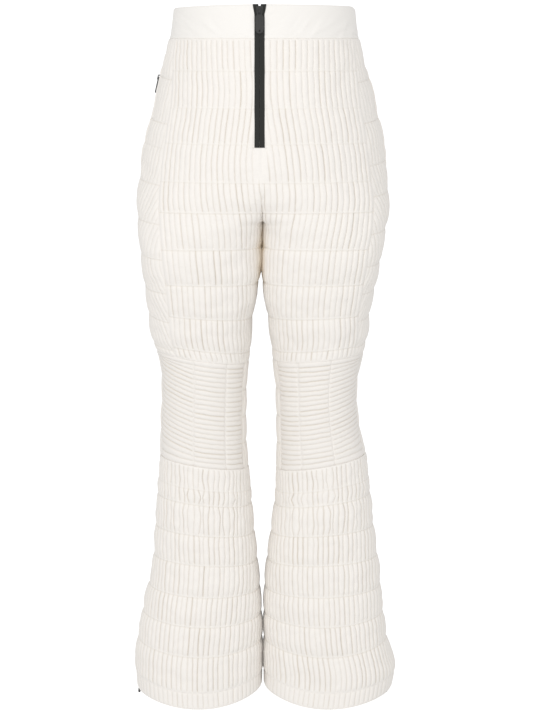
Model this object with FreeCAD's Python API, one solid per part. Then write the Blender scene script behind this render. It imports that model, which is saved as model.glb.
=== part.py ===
"""High-waisted, flared, quilted ski pants as an assembly of separate pieces.

The origin is the centre of the waistband's top edge.  +X is the wearer's left, -Y is the front and
+Z is up, so every height below the waist is negative.  Lengths are in millimetres.
"""
import FreeCAD, Part
import math
import os

Vector = FreeCAD.Vector

# ---- driving dimensions -------------------------------------------------------------------------
WAISTBAND_HEIGHT = 44.0
OUTSEAM = 1026.0            # waistband top to hem
CRUTCH = 302.0              # waistband top to the point where the legs part
HIP_PANEL_END = 235.0       # lower edge of the stiff part of the front and sides of the hips
SEAT_PANEL_END = 335.0
THIGH_TOP = 350.0
KNEE_TOP = 508.0
KNEE_BOTTOM = 664.0
HEM_BAND_HEIGHT = 18.0

QUILT = 5.0                 # face fabric, wadding and lining together
BAND = 3.0                  # waistband, two layers of plain fabric
FACING = 1.2
JOINT_GAP = 1.0             # between pieces on different bodies
FAR = 420.0                 # past the garment on every side
RING_POINTS = 28            # points on each cross-section's curve
SECTOR_STEP = 30.0          # degrees between the corners of a cutting wedge

FRONT_SLOPE = 1.0 / 12.0    # the front leans out by this much for each millimetre down
SIDE_SLOPE = 7.0 / 30.0     # the same for the sides of the hips

# Cross-sections, each two half-ellipses: depth below waist, centre, half width, front, back.
WAIST_HALF_WIDTH = 132.0
WAIST_FRONT = 96.0
SIDE_STRAIGHT_END = 224.0


def front_depth(below):
    """Distance from the centre plane to the front surface, along the straight zip line."""
    return WAIST_FRONT + FRONT_SLOPE * below


def side_width(below):
    """Half width of the hips, along the straight line of the pocket zip."""
    return WAIST_HALF_WIDTH - 5.3 + SIDE_SLOPE * below


HIP_SECTIONS = [
    (0.0, 0.0, WAIST_HALF_WIDTH, front_depth(0.0), 96.0),
    (WAISTBAND_HEIGHT, 0.0, 137.0, front_depth(WAISTBAND_HEIGHT), 101.0),
    (130.0, 0.0, side_width(130.0), front_depth(130.0), 114.0),
    (SIDE_STRAIGHT_END, 0.0, side_width(SIDE_STRAIGHT_END), front_depth(SIDE_STRAIGHT_END), 125.0),
    (285.0, 0.0, 184.0, 113.0, 125.0),
    (345.0, 0.0, 180.0, 107.0, 116.0),
]
LEG_SECTIONS = [
    (340.0, 91.0, 88.0, 104.0, 108.0),
    (390.0, 88.0, 83.5, 96.0, 94.0),
    (440.0, 87.0, 75.5, 86.0, 81.0),
    (495.0, 86.0, 67.0, 75.0, 69.0),
    (550.0, 85.0, 60.0, 67.0, 61.0),
    (605.0, 86.0, 60.5, 63.0, 60.0),
    (660.0, 88.0, 64.0, 62.0, 65.0),
    (715.0, 88.5, 69.0, 62.0, 71.0),
    (770.0, 88.5, 75.5, 63.0, 76.0),
    (830.0, 89.0, 81.5, 65.0, 79.0),
    (OUTSEAM, 97.0, 95.5, 77.0, 82.0),
]

# Seams, as angles round a piece from the front centre towards the outer side.
HIP_FRONT_SEAM = 66.0
SEAT_SEAM = 112.0
THIGH_FRONT_SEAM = 40.0
THIGH_BACK_SEAM = 112.0
KNEE_INNER_EDGE = -60.0
KNEE_INNER_SEAM = -30.0
KNEE_OUTER_SEAM = 16.0
KNEE_OUTER_EDGE = 60.0
INSEAM = -90.0
LOWER_OUTER_SEAM = 107.3    # runs down the middle of the ankle zip
LEG_AXIS = 87.0             # middle of a leg, for cutting its panels apart

# Zips.  A zip is a pair of tapes with a gap down the middle and two rows of coil behind them.
FRONT_ZIP_LENGTH = 195.0
FRONT_ZIP_X = -4.0
POCKET_ZIP_TOP = 95.0
POCKET_ZIP_LENGTH = 125.0
POCKET_ZIP_ANGLE = 97.0     # round the hips from the front centre, just behind the side
ANKLE_ZIP_BOTTOM = 1020.0
ANKLE_ZIP_LENGTH = 165.0
ANKLE_ZIP_ANGLE = 110.0     # round the leg from its front, a little behind the outer side
FRONT_TAPE = 7.5            # half width of the visible tape
SIDE_TAPE = 6.0
TAPE_GAP = 0.7
TAPE_THICKNESS = 1.0
TAPE_DEPTH = 1.2            # tape surface below the fabric surface
TAPE_END = 4.0              # tape past the closed end of the zip
COIL_INNER = 0.9
COIL_OUTER = 3.0
COIL_THICKNESS = 2.0
RUN_CLEARANCE = 0.3
SLIDER_HALF_WIDTH = 4.6
SLIDER_TOP = 1.5
SLIDER_BOTTOM = -13.5
SLIDER_PLATE = 1.6
PULL_PIVOT_DOWN = 5.0
PULL_PIVOT_OUT = 3.4
PULL_PIN_RADIUS = 0.8
FRONT_PULL = (12.0, 32.0)   # width and length of the pull tab
SIDE_PULL = (7.0, 23.0)


# ---- helpers ------------------------------------------------------------------------------------
def save(name, shape):
    """Writes one sub-part."""
    shape.exportStep("parts/" + name + ".step")


def box(x0, x1, y0, y1, z0, z1):
    """A box between two corners."""
    return Part.makeBox(x1 - x0, y1 - y0, z1 - z0, Vector(x0, y0, z0))


def section_at(sections, below):
    """The cross-section at a depth, in between the two listed ones."""
    for upper, lower in zip(sections, sections[1:]):
        if below <= lower[0]:
            break
    share = (below - upper[0]) / (lower[0] - upper[0])
    return tuple(a + share * (b - a) for a, b in zip(upper, lower))


def ring(section, inset):
    """A closed smooth wire: two half-ellipses that meet at the sides."""
    below, centre, half_width, front, back = section
    points = []
    for step in range(RING_POINTS):
        turn = 2.0 * math.pi * step / RING_POINTS
        depth = front if math.cos(turn) > 0 else back
        x = centre + (half_width - inset) * math.sin(turn)
        y = -(depth - inset) * math.cos(turn)
        points.append(Vector(x, y, -below))
    curve = Part.BSplineCurve()
    curve.interpolate(points, PeriodicFlag=True)
    return Part.Wire([curve.toShape()])


def tube(sections, top, bottom, inset, extra=0.0):
    """The solid inside a garment surface, moved in by inset, from top to bottom."""
    depths = [top] + [row[0] for row in sections if top < row[0] < bottom] + [bottom]
    rows = [section_at(sections, depth) for depth in depths]
    if extra:
        rows.insert(0, (top - extra,) + rows[0][1:])
        rows.append((bottom + extra,) + rows[-1][1:])
    return Part.makeLoft([ring(row, inset) for row in rows], True, True)


def shell(sections, top, bottom, outer_inset, inner_inset):
    """A hollow length of a garment, open at both ends."""
    outside = tube(sections, top, bottom, outer_inset)
    inside = tube(sections, top, bottom, inner_inset, 2.0)
    return outside.cut(inside)


def sector(centre, start, end, top, bottom):
    """An upright wedge between two angles round a leg or the waist."""
    count = int(math.ceil((end - start) / SECTOR_STEP))
    points = [Vector(centre, 0, -bottom)]
    for step in range(count + 1):
        angle = math.radians(start + (end - start) * step / count)
        points.append(Vector(centre + FAR * math.sin(angle), -FAR * math.cos(angle), -bottom))
    points.append(points[0])
    face = Part.Face(Part.makePolygon(points))
    return face.extrude(Vector(0, 0, bottom - top))


def panel(sections, top, bottom, start, end, centre):
    """A quilted panel: part of a shell, between two seams."""
    return shell(sections, top, bottom, 0.0, QUILT).common(sector(centre, start, end, top, bottom))


def mirrored(shape):
    """The same piece on the other leg."""
    return shape.mirror(Vector(0, 0, 0), Vector(1, 0, 0))


def save_pair(name, shape):
    """Writes the wearer's left piece and its mirror image."""
    save(name + "_left", shape)
    save(name + "_right", mirrored(shape))


# ---- zips ---------------------------------------------------------------------------------------
# A zip is made upright: x across, -y outward from the garment, z = 0 at its closed end.
def zip_slot(half_tape, length, depth):
    """The space that a zip needs in a panel."""
    return box(-half_tape, half_tape, -20.0, depth, -length, 20.0)


def zip_tape(half_tape, length, side):
    """One of the two tapes."""
    near = side * TAPE_GAP
    far = side * half_tape
    return box(min(near, far), max(near, far), TAPE_DEPTH, TAPE_DEPTH + TAPE_THICKNESS, -length, TAPE_END)


def zip_coil(length):
    """Both rows of the coil, closed, and behind the tapes."""
    back = TAPE_DEPTH + TAPE_THICKNESS
    start = SLIDER_BOTTOM - 1.0
    rows = []
    for side in (-1, 1):
        near = side * COIL_INNER
        far = side * COIL_OUTER
        rows.append(box(min(near, far), max(near, far), back, back + COIL_THICKNESS, -length + 8.0, start))
    return Part.makeCompound(rows)


def zip_stops(length):
    """Two small stops at the closed end and one wide one at the other end."""
    stops = []
    for side in (-1, 1):
        middle = side * 3.0
        low = SLIDER_TOP + RUN_CLEARANCE
        stops.append(box(middle - 1.1, middle + 1.1, TAPE_DEPTH - 1.4, TAPE_DEPTH, low, TAPE_END))
    stops.append(box(-3.4, 3.4, TAPE_DEPTH - 1.2, TAPE_DEPTH, -length + 2.0, -length + 6.0))
    return Part.makeCompound(stops)


def zip_slider():
    """Front and back plates on a centre post, side flanges, and the bridge that holds the pull."""
    front = TAPE_DEPTH - RUN_CLEARANCE
    back = TAPE_DEPTH + TAPE_THICKNESS + COIL_THICKNESS + RUN_CLEARANCE
    waist = SLIDER_HALF_WIDTH - 1.2
    outline = [
        Vector(-SLIDER_HALF_WIDTH, 0, SLIDER_TOP),
        Vector(SLIDER_HALF_WIDTH, 0, SLIDER_TOP),
        Vector(SLIDER_HALF_WIDTH, 0, SLIDER_TOP - 7.0),
        Vector(waist, 0, SLIDER_BOTTOM),
        Vector(-waist, 0, SLIDER_BOTTOM),
        Vector(-SLIDER_HALF_WIDTH, 0, SLIDER_TOP - 7.0),
        Vector(-SLIDER_HALF_WIDTH, 0, SLIDER_TOP),
    ]
    plate = Part.Face(Part.makePolygon(outline)).extrude(Vector(0, SLIDER_PLATE, 0))
    upright = [edge for edge in plate.Edges if abs(edge.tangentAt(edge.FirstParameter).y) > 0.9]
    plate = plate.makeFillet(1.0, upright)
    body = plate.translated(Vector(0, front - SLIDER_PLATE, 0))
    body = body.fuse(plate.translated(Vector(0, back, 0)))
    post_half = TAPE_GAP - RUN_CLEARANCE
    body = body.fuse(box(-post_half, post_half, front - 0.5, back + 0.5, SLIDER_TOP - 4.0, SLIDER_TOP))
    flange_start = TAPE_DEPTH + TAPE_THICKNESS + RUN_CLEARANCE
    for side in (-1, 1):
        near = side * (COIL_OUTER + 0.3)
        far = side * SLIDER_HALF_WIDTH
        flange = box(min(near, far), max(near, far), flange_start, back + 0.5, SLIDER_TOP - 7.0, SLIDER_TOP)
        body = body.fuse(flange)
    pivot_y = TAPE_DEPTH - PULL_PIVOT_OUT
    bridge = box(-1.3, 1.3, pivot_y - 2.2, front - 0.5, -PULL_PIVOT_DOWN - 4.0, -PULL_PIVOT_DOWN + 4.0)
    tops = [edge for edge in bridge.Edges if abs(edge.tangentAt(edge.FirstParameter).x) > 0.9]
    tops = [edge for edge in tops if edge.CenterOfMass.y < pivot_y]
    bridge = bridge.makeFillet(1.5, tops)
    window_half = 2.6
    low = -PULL_PIVOT_DOWN - window_half
    window = box(-2.0, 2.0, pivot_y - 1.1, front - SLIDER_PLATE, low, low + 2 * window_half)
    return body.fuse(bridge.cut(window)).removeSplitter()


def zip_pull(width, length):
    """A flat tab with rounded end and small hole, on a cross pin between two arms."""
    pivot_y = TAPE_DEPTH - PULL_PIVOT_OUT
    pivot_z = -PULL_PIVOT_DOWN
    arm_half = 3.4
    half = width / 2.0
    tab_start = -6.0
    end = -length
    outline = [
        Part.makeLine(Vector(-arm_half, 0, tab_start), Vector(arm_half, 0, tab_start)),
        Part.makeLine(Vector(arm_half, 0, tab_start), Vector(half, 0, tab_start - 2.5)),
        Part.makeLine(Vector(half, 0, tab_start - 2.5), Vector(half, 0, end + half)),
        Part.Arc(Vector(half, 0, end + half), Vector(0, 0, end), Vector(-half, 0, end + half)).toShape(),
        Part.makeLine(Vector(-half, 0, end + half), Vector(-half, 0, tab_start - 2.5)),
        Part.makeLine(Vector(-half, 0, tab_start - 2.5), Vector(-arm_half, 0, tab_start)),
    ]
    tab = Part.Face(Part.Wire(outline)).extrude(Vector(0, 1.6, 0)).translated(Vector(0, -0.8, 0))
    hole = Part.makeCylinder(1.1, 4.0, Vector(0, -2.0, end + half * 0.62), Vector(0, 1, 0))
    tab = tab.cut(hole)
    for side in (-1, 1):
        near = side * 1.8
        far = side * arm_half
        tab = tab.fuse(box(min(near, far), max(near, far), -0.8, 0.8, tab_start - 0.5, 0.8))
    pin = Part.makeCylinder(PULL_PIN_RADIUS, 2 * arm_half, Vector(-arm_half, 0, 0), Vector(1, 0, 0))
    return tab.fuse(pin).removeSplitter().translated(Vector(0, pivot_y, pivot_z))


def upside_down(shape):
    """The same zip piece with its closed end at the bottom."""
    return shape.mirror(Vector(0, 0, 0), Vector(0, 0, 1))


def surface_point(sections, below, angle):
    """A point on the garment's surface, at an angle round its own centre."""
    section = section_at(sections, below)
    turn = math.radians(angle)
    depth = section[3] if math.cos(turn) > 0 else section[4]
    return Vector(section[1] + section[2] * math.sin(turn), -depth * math.cos(turn), -below)


def zip_frame(sections, top, bottom, angle, closed_at_top):
    """The placement of a zip that lies along the surface between two depths."""
    high = surface_point(sections, top, angle)
    low = surface_point(sections, bottom, angle)
    up = (high - low).normalize()
    beside = surface_point(sections, top, angle + 1.0) - surface_point(sections, top, angle - 1.0)
    inward = up.cross(beside).normalize()
    across = inward.cross(up)
    origin = high if closed_at_top else low
    return FreeCAD.Placement(origin, FreeCAD.Rotation(across, inward, up, "ZXY"))


def placed(shape, placement):
    """A copy of a shape, carried to its place on the garment."""
    copy = shape.copy()
    copy.Placement = placement.multiply(copy.Placement)
    return copy


FRONT_ZIP = zip_frame(HIP_SECTIONS, 0.0, WAISTBAND_HEIGHT, 0.0, True)
FRONT_ZIP.Base = FRONT_ZIP.Base + Vector(FRONT_ZIP_X, 0, 0)
POCKET_ZIP = zip_frame(
    HIP_SECTIONS, POCKET_ZIP_TOP, POCKET_ZIP_TOP + POCKET_ZIP_LENGTH, POCKET_ZIP_ANGLE, True)
ANKLE_ZIP = zip_frame(
    LEG_SECTIONS, ANKLE_ZIP_BOTTOM - ANKLE_ZIP_LENGTH, ANKLE_ZIP_BOTTOM, ANKLE_ZIP_ANGLE, False)

SLOT_DEPTH = 14.0
FACING_SLOT = FRONT_TAPE + 1.0
front_slot = placed(zip_slot(FRONT_TAPE, FRONT_ZIP_LENGTH, SLOT_DEPTH), FRONT_ZIP)
facing_slot = placed(zip_slot(FACING_SLOT, FRONT_ZIP_LENGTH, SLOT_DEPTH), FRONT_ZIP)
pocket_slot = placed(
    box(-SIDE_TAPE, SIDE_TAPE, -20.0, SLOT_DEPTH, -POCKET_ZIP_LENGTH, TAPE_END), POCKET_ZIP)
ankle_slot = placed(
    box(-SIDE_TAPE, SIDE_TAPE, -20.0, SLOT_DEPTH, -30.0, ANKLE_ZIP_LENGTH), ANKLE_ZIP)


# ---- waist and hips -----------------------------------------------------------------------------
def make_waistband():
    """Two front pieces that meet at the zip, a back piece, and the facing inside them."""
    band = shell(HIP_SECTIONS, 0.0, WAISTBAND_HEIGHT, 0.0, BAND)
    left = band.common(box(FRONT_ZIP_X, FAR, -FAR, 0.0, -FAR, FAR)).cut(front_slot)
    right = band.common(box(-FAR, FRONT_ZIP_X, -FAR, 0.0, -FAR, FAR)).cut(front_slot)
    save("waistband_front_left", left)
    save("waistband_front_right", right)
    save("waistband_back", band.common(box(-FAR, FAR, 0.0, FAR, -FAR, FAR)))
    facing_start = BAND + RUN_CLEARANCE
    facing = shell(HIP_SECTIONS, 1.0, WAISTBAND_HEIGHT - 1.0, facing_start, facing_start + FACING)
    save("waistband_facing", facing.cut(facing_slot))


def make_hanger_loops():
    """A flat folded ribbon at each side, sewn in at the lower edge of the waistband."""
    outer_x = side_width(WAISTBAND_HEIGHT) - QUILT - 2.0
    loop = box(outer_x - 0.9, outer_x, -5.0, 5.0, -WAISTBAND_HEIGHT - 52.0, -WAISTBAND_HEIGHT + 4.0)
    save("hanger_loops", Part.makeCompound([loop, mirrored(loop)]))


def make_fly_guard():
    """The soft flap behind the front zip."""
    half = FRONT_TAPE * 2 - 1.0
    start = QUILT + 1.8
    guard = box(-half, half, start, start + FACING, -FRONT_ZIP_LENGTH - 6.0, -3.0)
    save("fly_guard", placed(guard, FRONT_ZIP))


def make_hips():
    """Upper front panels, side panels, the seat, and the soft lower front that folds."""
    quarter = box(FRONT_ZIP_X, FAR, -FAR, FAR, -FAR, FAR)
    other_quarter = box(-FAR, FRONT_ZIP_X, -FAR, FAR, -FAR, FAR)
    upper = shell(HIP_SECTIONS, WAISTBAND_HEIGHT, HIP_PANEL_END, 0.0, QUILT)
    front = upper.common(sector(0.0, -HIP_FRONT_SEAM, HIP_FRONT_SEAM, WAISTBAND_HEIGHT, HIP_PANEL_END))
    front = front.cut(front_slot)
    save("hip_front_left", front.common(quarter))
    save("hip_front_right", front.common(other_quarter))
    side = upper.common(sector(0.0, HIP_FRONT_SEAM, SEAT_SEAM, WAISTBAND_HEIGHT, HIP_PANEL_END))
    save_pair("hip_side", side.cut(pocket_slot))
    save_pair("seat", panel(HIP_SECTIONS, WAISTBAND_HEIGHT, SEAT_PANEL_END, SEAT_SEAM, 180.0, 0.0))
    longer = HIP_SECTIONS + [(FAR,) + HIP_SECTIONS[-1][1:]]
    save_pair("hip_crease", panel(longer, HIP_PANEL_END, THIGH_TOP - JOINT_GAP, 0.0, SEAT_SEAM, 0.0))


def make_gusset():
    """A narrow saddle of fabric under the crutch, from the front to the seat."""
    radius = 150.0
    thickness = 4.0
    half = 12.0
    middle = Vector(-half, 30.0, radius - CRUTCH)
    band = Part.makeCylinder(radius, 2 * half, middle, Vector(1, 0, 0))
    band = band.cut(Part.makeCylinder(radius - thickness, 2 * half, middle, Vector(1, 0, 0)))
    save("crotch_gusset", band.common(box(-half, half, -66.0, 118.5, -CRUTCH - 1.0, -CRUTCH + 60.0)))


def make_pocket_bags():
    """A flat pocket behind each pocket zip."""
    start = QUILT + 1.7
    thickness = 3.0
    bag = shell(HIP_SECTIONS, POCKET_ZIP_TOP, POCKET_ZIP_TOP + 160.0, start, start + thickness)
    bag = bag.common(sector(0.0, 50.0, 108.0, 0.0, FAR))
    save_pair("pocket_bag", bag)


# ---- legs ---------------------------------------------------------------------------------------
def make_thighs():
    """Front, outer side and back panels."""
    end = KNEE_TOP
    save_pair("thigh_front", panel(LEG_SECTIONS, THIGH_TOP, end, INSEAM, THIGH_FRONT_SEAM, LEG_AXIS))
    save_pair("thigh_side", panel(LEG_SECTIONS, THIGH_TOP, end, THIGH_FRONT_SEAM, THIGH_BACK_SEAM, LEG_AXIS))
    save_pair("thigh_back", panel(LEG_SECTIONS, THIGH_TOP, end, THIGH_BACK_SEAM, INSEAM + 360.0, LEG_AXIS))


def make_knees():
    """Three ribbed facets in front and a soft panel behind."""
    edges = {
        "knee_panel_inner": (KNEE_INNER_EDGE, KNEE_INNER_SEAM),
        "knee_panel_middle": (KNEE_INNER_SEAM, KNEE_OUTER_SEAM),
        "knee_panel_outer": (KNEE_OUTER_SEAM, KNEE_OUTER_EDGE),
        "knee_back": (KNEE_OUTER_EDGE, KNEE_INNER_EDGE + 360.0),
    }
    for name, (start, end) in edges.items():
        save_pair(name, panel(LEG_SECTIONS, KNEE_TOP, KNEE_BOTTOM - JOINT_GAP, start, end, LEG_AXIS))


def make_lower_legs():
    """Flared front and back panels and the hem band, all open for the ankle zip."""
    band_top = OUTSEAM - HEM_BAND_HEIGHT
    front = panel(LEG_SECTIONS, KNEE_BOTTOM, band_top, INSEAM, LOWER_OUTER_SEAM, LEG_AXIS)
    back = panel(LEG_SECTIONS, KNEE_BOTTOM, band_top, LOWER_OUTER_SEAM, INSEAM + 360.0, LEG_AXIS)
    save_pair("shin_front", front.cut(ankle_slot))
    save_pair("shin_back", back.cut(ankle_slot))
    save_pair("hem_band", shell(LEG_SECTIONS, band_top, OUTSEAM, 0.0, QUILT).cut(ankle_slot))


# ---- zips in place ------------------------------------------------------------------------------
def make_front_zip():
    """The exposed zip in the front of the waistband and hips."""
    save("front_zip_tape_left", placed(zip_tape(FRONT_TAPE, FRONT_ZIP_LENGTH, 1), FRONT_ZIP))
    save("front_zip_tape_right", placed(zip_tape(FRONT_TAPE, FRONT_ZIP_LENGTH, -1), FRONT_ZIP))
    save("front_zip_coil", placed(zip_coil(FRONT_ZIP_LENGTH), FRONT_ZIP))
    save("front_zip_stops", placed(zip_stops(FRONT_ZIP_LENGTH), FRONT_ZIP))
    save("front_zip_slider", placed(zip_slider(), FRONT_ZIP))
    save("front_zip_pull", placed(zip_pull(*FRONT_PULL), FRONT_ZIP))


def make_side_zip(name, length, placement, closed_at_top):
    """A pocket or ankle zip, and its mirror image on the other side."""
    pieces = {
        "tape": Part.makeCompound([zip_tape(SIDE_TAPE, length, 1), zip_tape(SIDE_TAPE, length, -1)]),
        "coil": Part.makeCompound(zip_coil(length).Solids + zip_stops(length).Solids),
        "slider": zip_slider(),
    }
    pull = zip_pull(*SIDE_PULL)
    if not closed_at_top:
        pieces = {key: upside_down(shape) for key, shape in pieces.items()}
        pull = pull.translated(Vector(0, 0, 2 * PULL_PIVOT_DOWN))
    for key, shape in pieces.items():
        save_pair(name + "_" + key, placed(shape, placement))
    save_pair(name + "_pull", placed(pull, placement))


os.makedirs("parts", exist_ok=True)
make_waistband()
make_hanger_loops()
make_fly_guard()
make_hips()
make_gusset()
make_pocket_bags()
make_thighs()
make_knees()
make_lower_legs()
make_front_zip()
make_side_zip("pocket_zip", POCKET_ZIP_LENGTH, POCKET_ZIP, True)
make_side_zip("ankle_zip", ANKLE_ZIP_LENGTH, ANKLE_ZIP, False)
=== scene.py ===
"""High-waisted, flared, quilted ski pants: the looks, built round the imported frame.

The origin is the centre of the waistband's top edge, +X is the wearer's left, -Y is the front and
+Z is up.  Cloth is worked out in millimetres, by depth below the waist and by angle round the leg:
-90 is the inseam, 0 the front, 90 the outer side, 180 the back and 270 the inseam again.
"""
import math

import bpy
import numpy as np
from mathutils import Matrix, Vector


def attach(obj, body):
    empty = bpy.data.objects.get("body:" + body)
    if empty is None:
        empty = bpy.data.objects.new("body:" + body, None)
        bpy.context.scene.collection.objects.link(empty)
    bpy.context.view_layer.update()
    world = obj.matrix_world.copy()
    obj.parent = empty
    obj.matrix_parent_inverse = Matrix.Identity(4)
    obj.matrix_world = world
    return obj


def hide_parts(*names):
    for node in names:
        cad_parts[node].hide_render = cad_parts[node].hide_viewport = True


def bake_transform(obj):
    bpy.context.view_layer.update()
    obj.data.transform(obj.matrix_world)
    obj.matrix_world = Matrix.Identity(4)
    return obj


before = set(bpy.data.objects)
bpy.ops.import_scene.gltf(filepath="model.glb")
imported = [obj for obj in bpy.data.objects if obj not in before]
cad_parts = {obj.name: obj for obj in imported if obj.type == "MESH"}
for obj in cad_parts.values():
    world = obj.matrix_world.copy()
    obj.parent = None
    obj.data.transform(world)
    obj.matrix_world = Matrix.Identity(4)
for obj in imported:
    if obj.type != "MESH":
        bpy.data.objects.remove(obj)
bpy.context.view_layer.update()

MM = 0.001

# ---- driving dimensions, mm -----------------------------------------------------------------------
WAIST_TOP = -4.0            # the waistband's front stands a little above the origin
WAISTBAND = 44.0
CRUTCH = 302.0
KNEE_TOP = 505.0
KNEE_BOTTOM = 664.5
HEM_BAND_TOP = 1004.0
HEM = 1029.0
OUTER_HEM_RISE = 16.0       # the hem is this much higher at the outer side of a leg than in front
INNER_HEM_RISE = 18.0
QUILT = 4.6                 # thickness of the quilted cloth under the ribs
FACING = 1.2                # thickness of the waistband's facing
BAND = 2.6                  # thickness of the waistband
RIB = 1.35                  # height of a rib
KNEE_RIB = 1.05
WELT = 2.6                  # a soft lip in front of the pocket zip
KNEE_PITCH = 7.1
KNEE_BAND = 8.0             # plain band above and below the knee ribs
INSEAM = -90.0
INSEAM_AGAIN = 270.0
LAST_ANGLE = 310.0          # the cloth's tables go a little past the inseam
ROW_STEP = 2.0              # distance between rows in the table of cloth lengths
RULER_START = -420.0        # the longest lengths of cloth that a panel needs, before and after its
RULER_END = 520.0           # reference line

FRONT_ZIP_X = -4.0
FRONT_ZIP_END = 195.0
FRONT_TAPE = 7.1
SIDE_TAPE = 6.0
POCKET_ZIP_ANGLE = 97.0
POCKET_TOP = 91.5
POCKET_END = 217.5
ANKLE_ZIP_TOP = 855.0
ANKLE_ZIP_ANGLE = 110.0

LEFT = 1                    # the wearer's left
RIGHT = -1


# ---- the shape of the cloth -----------------------------------------------------------------------
def curve_through(*stations):
    """A smooth function of depth that passes through (depth, value) stations."""
    at = np.array([station[0] for station in stations], float)
    value = np.array([station[1] for station in stations], float)
    slope = np.gradient(value, at)

    def curve(depth):
        depth = np.clip(depth, at[0], at[-1])
        i = np.clip(np.searchsorted(at, depth) - 1, 0, len(at) - 2)
        span = at[i + 1] - at[i]
        t = (depth - at[i]) / span
        rise = value[i + 1] - value[i]
        bend = t * (1 - t) * ((1 - t) * (slope[i] * span - rise) + t * (rise - slope[i + 1] * span))
        return value[i] + t * rise + bend

    return curve


def ease(value):
    """Goes smoothly from 0 to 1 as value does."""
    value = np.clip(value, 0, 1)
    return value * value * (3 - 2 * value)


def hump(distance, width):
    """1 where distance is 0, falling smoothly to nothing over about twice the width."""
    return np.exp(-(distance / width) ** 2)


def read_table(table, row, column):
    """The value of a table between its cells."""
    row = np.clip(row, 0, table.shape[0] - 1.001)
    column = np.clip(column, 0, table.shape[1] - 1.001)
    r, c = row.astype(int), column.astype(int)
    down, across = row - r, column - c
    upper = table[r, c] * (1 - across) + table[r, c + 1] * across
    lower = table[r + 1, c] * (1 - across) + table[r + 1, c + 1] * across
    return upper * (1 - down) + lower * down


TRUNK_FRONT = curve_through((0, 96), (44, 99.7), (130, 106.8), (224, 114.7), (285, 118), (345, 112))
TRUNK_BACK = curve_through((0, 96), (44, 101), (130, 114), (224, 125), (285, 125), (345, 116))
LEG_FRONT = curve_through(
    (180, 112), (300, 108), (340, 104), (390, 96), (440, 86), (495, 75), (550, 67), (605, 63),
    (660, 62), (715, 62), (770, 63), (830, 65), (1026, 77))
LEG_BACK = curve_through(
    (180, 118), (300, 116), (340, 108), (390, 94), (440, 81), (495, 69), (550, 61), (605, 60),
    (660, 65), (715, 71), (770, 76), (830, 79), (1026, 82))
OUTER = {
    LEFT: curve_through(
        (0, 133), (44, 138.5), (74, 145.5), (126, 158), (178, 170.5), (230, 178.5), (283, 182.5),
        (336, 174), (389, 165), (443, 155), (475, 153), (505, 146), (551, 138.5), (605, 141.5),
        (660, 152.5), (715, 159.5), (771, 165.5), (827, 173), (883, 178.5), (939, 186), (985, 198),
        (1026, 191)),
    RIGHT: curve_through(
        (0, 127.5), (44, 133.5), (74, 141), (126, 151.5), (178, 165), (230, 176), (283, 181),
        (336, 177), (389, 171.5), (443, 165.5), (480, 161), (505, 152), (551, 148), (605, 150),
        (660, 151), (715, 156), (771, 160), (827, 164.5), (883, 177), (939, 187.5), (985, 190.5),
        (1026, 188)),
}
INNER = {
    LEFT: curve_through(
        (290, 0), (302, 0), (320, 3.5), (345, 2), (389, 1.5), (416, 4), (443, 9), (470, 12),
        (496, 15.5), (524, 18.5), (551, 21), (605, 22.5), (660, 23), (715, 21), (771, 14.5), (827, 7),
        (883, 3.5), (939, 3), (1026, 3.5)),
    RIGHT: curve_through(
        (290, 0), (302, 0), (325, 6), (350, 9), (389, 8), (416, 11), (443, 16), (496, 20), (524, 24),
        (551, 25.5), (633, 26), (660, 25), (715, 19.5), (771, 15), (827, 9), (883, 4.5), (911, 3),
        (1026, 3)),
}

HIP_SPLIT_TOP = 205.0       # the trunk starts to turn into two legs here
SPLIT_END = 372.0
FORK_TOP = 240.0            # the centre seam starts to curve under here
FORK_NARROWNESS = 9
CRUTCH_GAP_TOP = 350.0      # above here the legs' backs touch
CRUTCH_GAP_OPENING = 55.0   # the gap behind opens over this much depth
FRONT_TURN = 28.0           # the gap in front fades in over these degrees from the inseam
SEAM_LAP = 0.3              # the two sides overlap this much at the centre seam
LAP_NARROWNESS = 400
FULLNESS = curve_through(   # below 1, a leg is fuller than an ellipse
    (200, 0.8), (290, 0.45), (400, 0.5), (480, 0.72), (600, 0.8), (1029, 0.8))
SLANT = {                   # how far level seams drop on the inner side of a leg and rise on the outer
    LEFT: curve_through((380, 0), (505, 6), (664, 11), (800, 4), (1029, 0)),
    RIGHT: curve_through((380, 0), (505, 9), (664, 9), (800, 5), (1029, 0)),
}


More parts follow.
